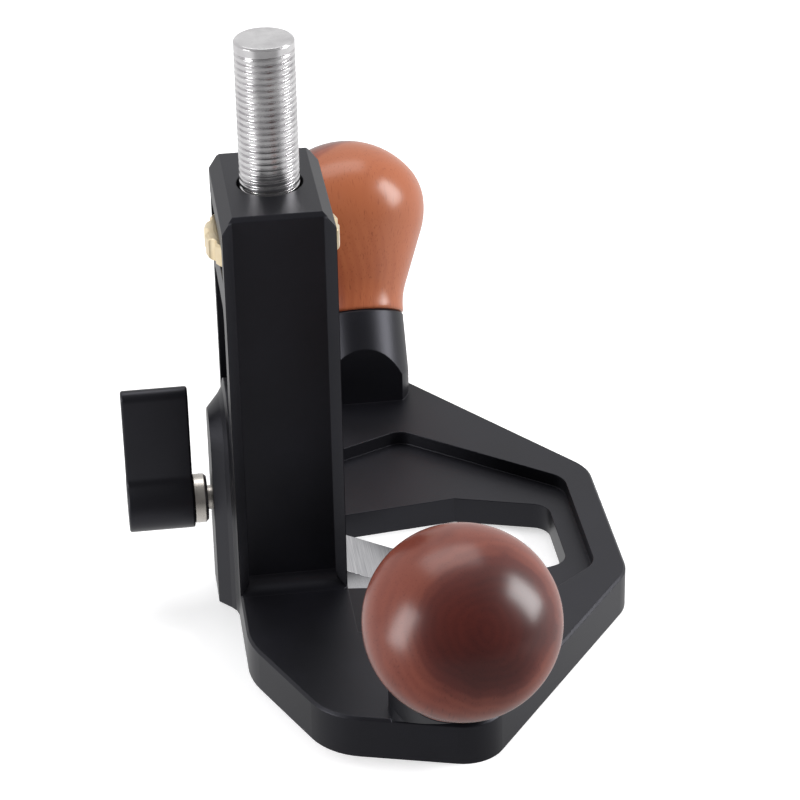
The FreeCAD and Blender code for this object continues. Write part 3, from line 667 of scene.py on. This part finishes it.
@dataclass
class TurnedKnob:
    """A pear-shaped knob that leans outward on its boss.

    Attributes:
        side: 1 for the left knob, -1 for the right.
        centre: Height zero of the outline, in metres.
        lean_deg: Lean outward from upright.
        joint: Distance from the centre down to the boss.
        neck: Radius at the boss.
        sweep: Radius of the hollow sweep above the boss.
        ball: Radius of the ball.
        widest: Height of the ball's middle.
        shoulder: Radius of the rounder shoulder.
        crown: Height of the crown.
        bore: Radius of the bore for the sleeve.
        bore_deep: Depth of that bore.
        steps: Points round the knob.
    """

    side: int
    centre: tuple[float, float, float] = (28.6 * MM, 101.5 * MM, 51.0 * MM)
    lean_deg: float = 37.0
    joint: float = 28.5 * MM
    neck: float = 13.0 * MM
    sweep: float = 20.0 * MM
    ball: float = 21.4 * MM
    widest: float = 1.6 * MM
    shoulder: float = 15.0 * MM
    crown: float = 19.8 * MM
    bore: float = 5.65 * MM
    bore_deep: float = 16.05 * MM
    steps: int = 128

    def _outline(self) -> list[tuple[float, float]]:
        """Lists radius and height from the bore's floor to the crown.

        Returns:
            The half outline.
        """
        lip = 0.8 * MM
        foot = lip - self.joint
        reach = self.neck + self.sweep
        rise = self.widest - foot
        slope = (math.atan2(rise, reach)
                 - math.acos((self.ball + self.sweep) / math.hypot(reach, rise)))
        in_by = self.ball - self.shoulder
        high = self.crown - self.widest
        cap = (in_by ** 2 + high ** 2 - self.shoulder ** 2) / (2 * (high - self.shoulder))
        meet = math.atan2(cap - high, in_by)
        floor = self.bore_deep - self.joint
        points = [(0.0, floor), (self.bore, floor), (self.bore, -self.joint),
                  (self.neck - lip, -self.joint)]
        for part in range(1, 5):
            turn = math.radians(90.0 * part / 4.0)
            points.append((self.neck - lip + lip * math.sin(turn),
                           -self.joint + lip * (1.0 - math.cos(turn))))
        for part in range(1, 9):
            turn = math.pi - slope * part / 8.0
            points.append((reach + self.sweep * math.cos(turn),
                           foot + self.sweep * math.sin(turn)))
        touch = (self.ball * math.cos(slope), self.widest - self.ball * math.sin(slope))
        start = points[-1]
        for part in range(1, 5):
            share = part / 5.0
            points.append((start[0] + (touch[0] - start[0]) * share,
                           start[1] + (touch[1] - start[1]) * share))
        for part in range(9):
            turn = -slope * (1.0 - part / 8.0)
            points.append((self.ball * math.cos(turn),
                           self.widest + self.ball * math.sin(turn)))
        for part in range(1, 15):
            turn = meet * part / 14.0
            points.append((in_by + self.shoulder * math.cos(turn),
                           self.widest + self.shoulder * math.sin(turn)))
        for part in range(1, 13):
            turn = meet + (math.pi / 2.0 - meet) * part / 12.0
            points.append((cap * math.cos(turn), self.crown - cap + cap * math.sin(turn)))
        points[-1] = (0.0, self.crown)
        return points

    def build(self, name: str, node: str, material: bpy.types.Material) -> bpy.types.Object:
        """Makes the knob.

        Args:
            name: The piece's name.
            node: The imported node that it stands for.
            material: Its finish.

        Returns:
            The knob.
        """
        tool = bmesh.new()
        verts = [tool.verts.new((radius, 0.0, height))
                 for radius, height in self._outline()]
        edges = [tool.edges.new((verts[i], verts[i + 1])) for i in range(len(verts) - 1)]
        bmesh.ops.spin(tool, geom=verts + edges, cent=(0, 0, 0), axis=(0, 0, 1),
                       angle=2.0 * math.pi, steps=self.steps, use_merge=True,
                       use_duplicate=False)
        bmesh.ops.remove_doubles(tool, verts=tool.verts[:], dist=0.001 * MM)
        grain = tool.verts.layers.float_vector.new("grain")
        for vert in tool.verts:
            vert[grain] = vert.co
        x, y, z = self.centre
        place = (Matrix.Translation((x + POST_X, self.side * y, z))
                 @ Matrix.Rotation(-self.side * math.radians(self.lean_deg), 4, "X"))
        bmesh.ops.transform(tool, matrix=place, verts=tool.verts[:])
        piece = make_piece(name, tool, "plane", material)
        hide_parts(node)
        return piece


@dataclass
class ClampRing:
    """The bright ring between the lever and the column, with a broken inner edge.

    Attributes:
        axis_high: Height of the clamp's axis, in metres.
        outer: X of the face on the lever.
        inner: X of the face toward the column.
        radius: Outer radius.
        bore: Radius of the hole for the stud.
        bevel: Width of the bevel toward the column.
        steps: Points round the ring.
    """

    axis_high: float = 26.3 * MM
    outer: float = -22.0 * MM
    inner: float = -18.6 * MM
    radius: float = 6.0 * MM
    bore: float = 3.02 * MM
    bevel: float = 0.7 * MM
    steps: int = 72

    def build(self, material: bpy.types.Material) -> bpy.types.Object:
        """Makes the ring.

        Args:
            material: Its finish.

        Returns:
            The ring.
        """
        lip = 0.25 * MM
        corners = ((self.outer, self.bore), (self.outer, self.radius - lip),
                   (self.outer + lip, self.radius), (self.inner - self.bevel, self.radius),
                   (self.inner, self.radius - self.bevel), (self.inner, self.bore))
        tool = bmesh.new()
        verts = [tool.verts.new((across, 0.0, out)) for across, out in corners]
        edges = [tool.edges.new((verts[i], verts[(i + 1) % len(verts)]))
                 for i in range(len(verts))]
        bmesh.ops.spin(tool, geom=verts + edges, cent=(0, 0, 0), axis=(1, 0, 0),
                       angle=2.0 * math.pi, steps=self.steps, use_merge=True,
                       use_duplicate=False)
        bmesh.ops.translate(tool, verts=tool.verts[:], vec=(POST_X, 0, self.axis_high))
        piece = make_piece("clamp_ring_turned", tool, "lever", material,
                           smooth_deg=30.0)
        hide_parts("clamp_collar")
        return piece


@dataclass
class WingLever:
    """The clamp's handle: a round hub that sweeps into one flat wing.

    Attributes:
        axis_high: Height of the clamp's axis, in metres.
        outer: X of the far face.
        inner: X of the face on the ring.
        hub: Radius of the hub.
        half: Half the wing's thickness.
        reach: Height of the wing's top above the axis.
        sweep: Radius of the hollow between hub and wing.
        edge: Width of the broken edges.
    """

    axis_high: float = 26.3 * MM
    outer: float = -38.0 * MM
    inner: float = -22.0 * MM
    hub: float = 7.0 * MM
    half: float = 2.3 * MM
    reach: float = 31.2 * MM
    sweep: float = 2.5 * MM
    edge: float = 0.55 * MM

    def _outline(self) -> list[tuple[float, float]]:
        """Lists the end view's points, round from the hub's right side.

        Returns:
            Y and height above the axis of each point.
        """
        rise = math.sqrt((self.hub + self.sweep) ** 2 - (self.half + self.sweep) ** 2)
        meet = math.atan2(rise, self.half + self.sweep)
        right = []
        for part in range(13):
            turn = -math.pi / 2.0 + (meet + math.pi / 2.0) * part / 12.0
            right.append((self.hub * math.cos(turn), self.hub * math.sin(turn)))
        for part in range(1, 6):
            turn = math.pi + meet - meet * part / 5.0
            right.append((self.half + self.sweep + self.sweep * math.cos(turn),
                          rise + self.sweep * math.sin(turn)))
        for part in range(6):
            turn = math.pi / 2.0 * part / 5.0
            right.append((self.half * math.cos(turn),
                          self.reach - self.half + self.half * math.sin(turn)))
        left = [(-across, up) for across, up in reversed(right[1:-1])]
        return right + left

    def build(self, material: bpy.types.Material) -> bpy.types.Object:
        """Makes the lever.

        Args:
            material: Its finish.

        Returns:
            The lever.
        """
        tool = bmesh.new()
        verts = [tool.verts.new((self.outer, across, up)) for across, up in self._outline()]
        end = tool.faces.new(verts)
        grown = bmesh.ops.extrude_face_region(tool, geom=[end])["geom"]
        moved = [item for item in grown if isinstance(item, bmesh.types.BMVert)]
        bmesh.ops.translate(tool, verts=moved, vec=(self.inner - self.outer, 0, 0))
        rims = [edge for edge in tool.edges
                if abs(edge.verts[0].co.x - edge.verts[1].co.x) < 0.1 * MM]
        bmesh.ops.bevel(tool, geom=rims, offset=self.edge, affect="EDGES", segments=3,
                        profile=0.5, material=-1)
        bmesh.ops.translate(tool, verts=tool.verts[:], vec=(POST_X, 0, self.axis_high))
        piece = make_piece("clamp_lever_winged", tool, "lever", material,
                           smooth_deg=32.0)
        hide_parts("clamp_lever")
        return piece


@dataclass
class FootCove:
    """The hollow fillet round one end of the column's foot, its corners included.

    Attributes:
        side: 1 for the left end, -1 for the right.
        half_x: Half the column's thickness.
        half_y: Half the column's width.
        corner: Width of the column's corner bevels.
        high: Height of the plate's top.
        radius: The hollow's radius.
        root: How far the piece reaches into the column and the plate.
    """

    side: int
    half_x: float = 13.0 * MM
    half_y: float = 18.6 * MM
    corner: float = 2.5 * MM
    high: float = 10.7 * MM
    radius: float = 3.7 * MM
    root: float = 0.4 * MM

    def _place(self, station: int, out: float, up: float) -> Vector:
        """Places one point of the section at one of the four corners of the path.

        Args:
            station: 0 to 3, from the back to the front.
            out: Distance out from the column's face.
            up: Height above the plate.

        Returns:
            The point.
        """
        way = -1.0 if station < 2 else 1.0
        if station in (0, 3):
            across = self.half_x - 0.02 * MM
            along = self.half_y - self.corner + out * math.sqrt(2.0)
        else:
            across = self.half_x - self.corner + out * math.tan(math.radians(22.5))
            along = self.half_y + out
        return Vector((way * across + POST_X, self.side * along, self.high + up))

    def build(self, name: str, material: bpy.types.Material) -> bpy.types.Object:
        """Makes the fillet.

        Args:
            name: The piece's name.
            material: Its finish.

        Returns:
            The fillet.
        """
        section = [(-self.root, self.radius), (-self.root, -self.root),
                   (self.radius, -self.root)]
        for part in range(11):
            turn = math.pi / 2.0 * part / 10.0
            section.append((self.radius * (1.0 - math.sin(turn)),
                            self.radius * (1.0 - math.cos(turn))))
        tool = bmesh.new()
        out_layer = tool.verts.layers.float.new("out")
        up_layer = tool.verts.layers.float.new("up")
        verts = []
        for out, up in section:
            vert = tool.verts.new(self._place(0, out, up))
            vert[out_layer] = out
            vert[up_layer] = up
            verts.append(vert)
        face = tool.faces.new(verts)
        for station in (1, 2, 3):
            grown = bmesh.ops.extrude_face_region(tool, geom=[face])["geom"]
            for item in grown:
                if isinstance(item, bmesh.types.BMVert):
                    item.co = self._place(station, item[out_layer], item[up_layer])
            old = face
            face = [item for item in grown if isinstance(item, bmesh.types.BMFace)][0]
            if station > 1:
                bmesh.ops.delete(tool, geom=[old], context="FACES_ONLY")
        return make_piece(name, tool, "plane", material, smooth_deg=30.0)


@dataclass(frozen=True)
class SoftBox:
    """One square or oblong studio lamp.

    Attributes:
        name: The lamp's name.
        place: Where it hangs, in metres.
        aim: The point that it faces.
        size: Width and height in metres.
        power: Watts.
    """

    name: str
    place: tuple[float, float, float]
    aim: tuple[float, float, float]
    size: tuple[float, float]
    power: float

    def build(self) -> None:
        """Hangs the lamp."""
        light = bpy.data.lights.new(self.name, "AREA")
        light.shape = "RECTANGLE"
        light.size, light.size_y = self.size
        light.energy = self.power
        lamp = bpy.data.objects.new(self.name, light)
        lamp.location = self.place
        way = Vector(self.aim) - Vector(self.place)
        lamp.rotation_euler = way.to_track_quat("-Z", "Y").to_euler()
        bpy.context.scene.collection.objects.link(lamp)


@dataclass
class Studio:
    """Floor, lamps, world and the photograph's camera.

    Attributes:
        yaw_deg: The camera's turn from +Y toward +X.
        pitch_deg: How far it looks down.
        roll_deg: Its small roll.
        focal: Focal length in pixels of an 800 pixel picture.
        eye: The camera's place in millimetres from the post's axis.
        back_light: Strength of the even light from behind.
        front_light: Strength of the dimmer room behind the camera.
        side_floor: Brightness of the paper in reflections at the sides.
        front_floor: Its brightness straight in front.
    """

    yaw_deg: float = 7.34
    pitch_deg: float = 29.33
    roll_deg: float = 1.11
    focal: float = 2904.87
    eye: tuple[float, float, float] = (-49.09, -609.13, 394.13)
    back_light: float = 0.8
    front_light: float = 0.2
    side_floor: float = 0.95
    front_floor: float = 0.42

    def camera(self) -> None:
        """Places the camera where the photograph was taken from."""
        yaw, pitch, roll = (math.radians(value) for value in
                            (self.yaw_deg, self.pitch_deg, self.roll_deg))
        ahead = Vector((math.sin(yaw) * math.cos(pitch), math.cos(yaw) * math.cos(pitch),
                        -math.sin(pitch)))
        right = Vector((math.cos(yaw), -math.sin(yaw), 0.0))
        down = ahead.cross(right)
        side = math.cos(roll) * right + math.sin(roll) * down
        fall = -math.sin(roll) * right + math.cos(roll) * down
        turn = Matrix((side, -fall, -ahead)).transposed().to_4x4()
        lens = bpy.data.cameras.new("camera")
        lens.sensor_width = 36.0
        lens.lens = self.focal / 800.0 * 36.0
        lens.clip_start = 0.01
        seat = bpy.data.objects.new("camera", lens)
        spot = Vector(self.eye) * MM + Vector((POST_X, 0.0, 0.0))
        seat.matrix_world = Matrix.Translation(spot) @ turn
        bpy.context.scene.collection.objects.link(seat)
        bpy.context.scene.camera = seat

    def floor(self) -> None:
        """Lays a pale floor that reads as a white sweep to the camera."""
        tool = bmesh.new()
        bmesh.ops.create_grid(tool, x_segments=1, y_segments=1, size=4.0)
        mesh = bpy.data.meshes.new("floor")
        tool.to_mesh(mesh)
        tool.free()
        ground = bpy.data.objects.new("floor", mesh)
        bpy.context.scene.collection.objects.link(ground)
        # white paper sweep, lifted a little for the camera only
        material, tree, shader = new_material("white paper sweep")
        shader.inputs["Base Color"].default_value = linear("#e9e9ea")
        shader.inputs["Roughness"].default_value = 0.9
        shader.inputs["Specular IOR Level"].default_value = 0.1
        path = add_node(tree, "ShaderNodeLightPath")
        seen = maths(tree, "MULTIPLY", path.outputs["Is Camera Ray"], 0.45)
        glow = add_node(tree, "ShaderNodeEmission",
                        {"Color": (1.0, 1.0, 1.0, 1.0), "Strength": seen})
        lit = add_node(tree, "ShaderNodeAddShader",
                       {0: shader.outputs["BSDF"], 1: glow.outputs["Emission"]})
        # in reflections the paper is dimmer straight in front, as in a dim room
        where = add_node(tree, "ShaderNodeTexCoord").outputs["Object"]
        spot = add_node(tree, "ShaderNodeSeparateXYZ", {0: where})
        aside = maths(tree, "MULTIPLY", maths(tree, "ABSOLUTE", spot.outputs["X"]), 0.8)
        reach = maths(tree, "ADD", spot.outputs["Y"], aside)
        share = add_node(tree, "ShaderNodeMapRange",
                         {"Value": reach, "From Min": -0.11, "From Max": 0.04,
                          "To Min": self.front_floor, "To Max": self.side_floor},
                         interpolation_type="SMOOTHSTEP").outputs["Result"]
        mirrored = add_node(tree, "ShaderNodeEmission",
                            {"Color": (1.0, 1.0, 1.0, 1.0), "Strength": share})
        both = add_node(tree, "ShaderNodeMixShader",
                        {0: path.outputs["Is Glossy Ray"], 1: lit.outputs[0],
                         2: mirrored.outputs["Emission"]})
        for node in tree.nodes:
            if node.type == "OUTPUT_MATERIAL":
                tree.links.new(both.outputs[0], node.inputs["Surface"])
        dress(ground, material)

    def sky(self) -> None:
        """Sets an even pale surround that the camera sees as white."""
        world = bpy.data.worlds.new("studio")
        world.use_nodes = True
        tree = world.node_tree
        tree.nodes.clear()
        path = add_node(tree, "ShaderNodeLightPath")
        way = add_node(tree, "ShaderNodeNewGeometry").outputs["Incoming"]
        toward = add_node(tree, "ShaderNodeSeparateXYZ", {0: way}).outputs["Y"]
        room = add_node(tree, "ShaderNodeMapRange",
                        {"Value": toward, "From Min": -0.5, "From Max": 0.75,
                         "To Min": self.back_light, "To Max": self.front_light},
                        interpolation_type="SMOOTHSTEP").outputs["Result"]
        strength = maths(tree, "MAXIMUM", room, path.outputs["Is Camera Ray"])
        back = add_node(tree, "ShaderNodeBackground",
                        {"Color": (1.0, 1.0, 1.0, 1.0), "Strength": strength})
        add_node(tree, "ShaderNodeOutputWorld", {"Surface": back.outputs["Background"]})
        bpy.context.scene.world = world

    def build(self) -> None:
        """Sets up the whole studio."""
        self.camera()
        self.floor()
        self.sky()
        for lamp in (
                SoftBox("lamp_top", (-0.05, 0.34, 0.9), (0.0, 0.0, 0.05), (0.8, 0.5), 3.5),
                SoftBox("lamp_left", (-0.9, -0.3, 0.3), (0.0, -0.05, 0.06),
                        (0.36, 0.7), 6.5),
                SoftBox("lamp_right", (0.85, -0.1, 0.46), (0.0, -0.05, 0.06),
                        (0.4, 0.6), 9.0)):
            lamp.build()
        bpy.context.scene.view_settings.view_transform = "Standard"


class RouterPlane:
    """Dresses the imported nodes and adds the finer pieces."""

    def __init__(self) -> None:
        """Prepares the finishes."""
        post = (POST_X, 0.0, 0.0)
        clamp = (0.0, 0.0, 26.3 * MM)
        self.finishes = {
            # dull black with a faint grain: broad faces read soft, edges catch light
            "body": AnodisedBlack("black anodised body").material(),
            # the same black, a little smoother, as small pieces come out
            "lever": AnodisedBlack("black anodised lever", dark="#0d0d10", pale="#141418",
                                   roughness=0.36).material(),
            # pale neutral steel, with faint circles on the turned top
            "post": TurnedMetal("turned stainless post", "#e2e1e2", "#c9c7c9",
                                Axis.ALONG_Z, post, roughness=0.22, along=0.0).material(),
            # slightly darker steel for the clamp's ring and stud
            "clamp": TurnedMetal("turned stainless clamp", "#c9c4be", "#aaa59f",
                                 Axis.ALONG_X, clamp, roughness=0.28,
                                 ring=0.6 * MM).material(),
            # pale creamy brass for the wheel nut and the sleeves
            "brass": TurnedMetal("turned brass", "#f3e4c6", "#e6cfa6",
                                 Axis.ALONG_Z, post, roughness=0.3).material(),
            # deeper yellow brass for the clamp's tip
            "tip": TurnedMetal("brass clamp tip", "#e2c48c", "#bd9550",
                               Axis.ALONG_X, clamp, roughness=0.32).material(),
            # light grey steel with straight grinding lines
            "blade": GroundSteel().material(),
            # plain grey plating for screw, dowels, washers and studs
            "fixings": TurnedMetal("plated steel fixings", "#c4c4c6", "#98989c",
                                   Axis.ALONG_Z, post, roughness=0.3).material(),
            # deep wine brown under lacquer, with a painted reflection: a dark middle facing
            # outward toward the camera and a lighter rim
            "wood_right": PolishedWood("polished dark red wood", "#40110c", "#521b13",
                                       "#733526", 0.0, (0.0, -0.42, 0.907),
                                       (0.003, 0.0, 0.0)).material(),
            # orange brown with a darker patch toward the column, under lacquer
            "wood_left": PolishedWood("polished orange red wood", "#5a2512", "#823c25",
                                      "#a25b3a", 0.031, (0.25, 0.12, 0.96),
                                      (-0.012, -0.004, 0.0), 0.011).material(),
        }

    def dress_nodes(self) -> None:
        """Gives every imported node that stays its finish."""
        plan = {
            "plane_body": "body", "clamp_stud": "clamp", "clamp_pad": "tip",
            "depth_wheel": "brass", "wheel_washers": "fixings", "blade": "blade",
            "blade_screw": "fixings",
            "blade_dowels": "fixings", "left_knob_insert": "brass",
            "right_knob_insert": "brass", "left_knob_stud": "fixings",
            "right_knob_stud": "fixings",
        }
        for node, finish in plan.items():
            dress(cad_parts[node], self.finishes[finish])

    def build(self) -> None:
        """Builds all of the plane's looks."""
        self.dress_nodes()
        FootCove(side=1).build("foot_cove_left", self.finishes["body"])
        FootCove(side=-1).build("foot_cove_right", self.finishes["body"])
        ClampRing().build(self.finishes["clamp"])
        WingLever().build(self.finishes["lever"])
        ThreadedPost().build(self.finishes["post"])
        TurnedKnob(side=1).build("knob_left_turned", "left_knob",
                                 self.finishes["wood_left"])
        TurnedKnob(side=-1).build("knob_right_turned", "right_knob",
                                  self.finishes["wood_right"])


def main() -> None:
    """Builds the scene and notes its size."""
    logging.basicConfig(level=logging.INFO, format="%(name)s %(message)s")
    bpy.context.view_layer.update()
    RouterPlane().build()
    Studio().build()


if __name__ == "__main__":
    main()
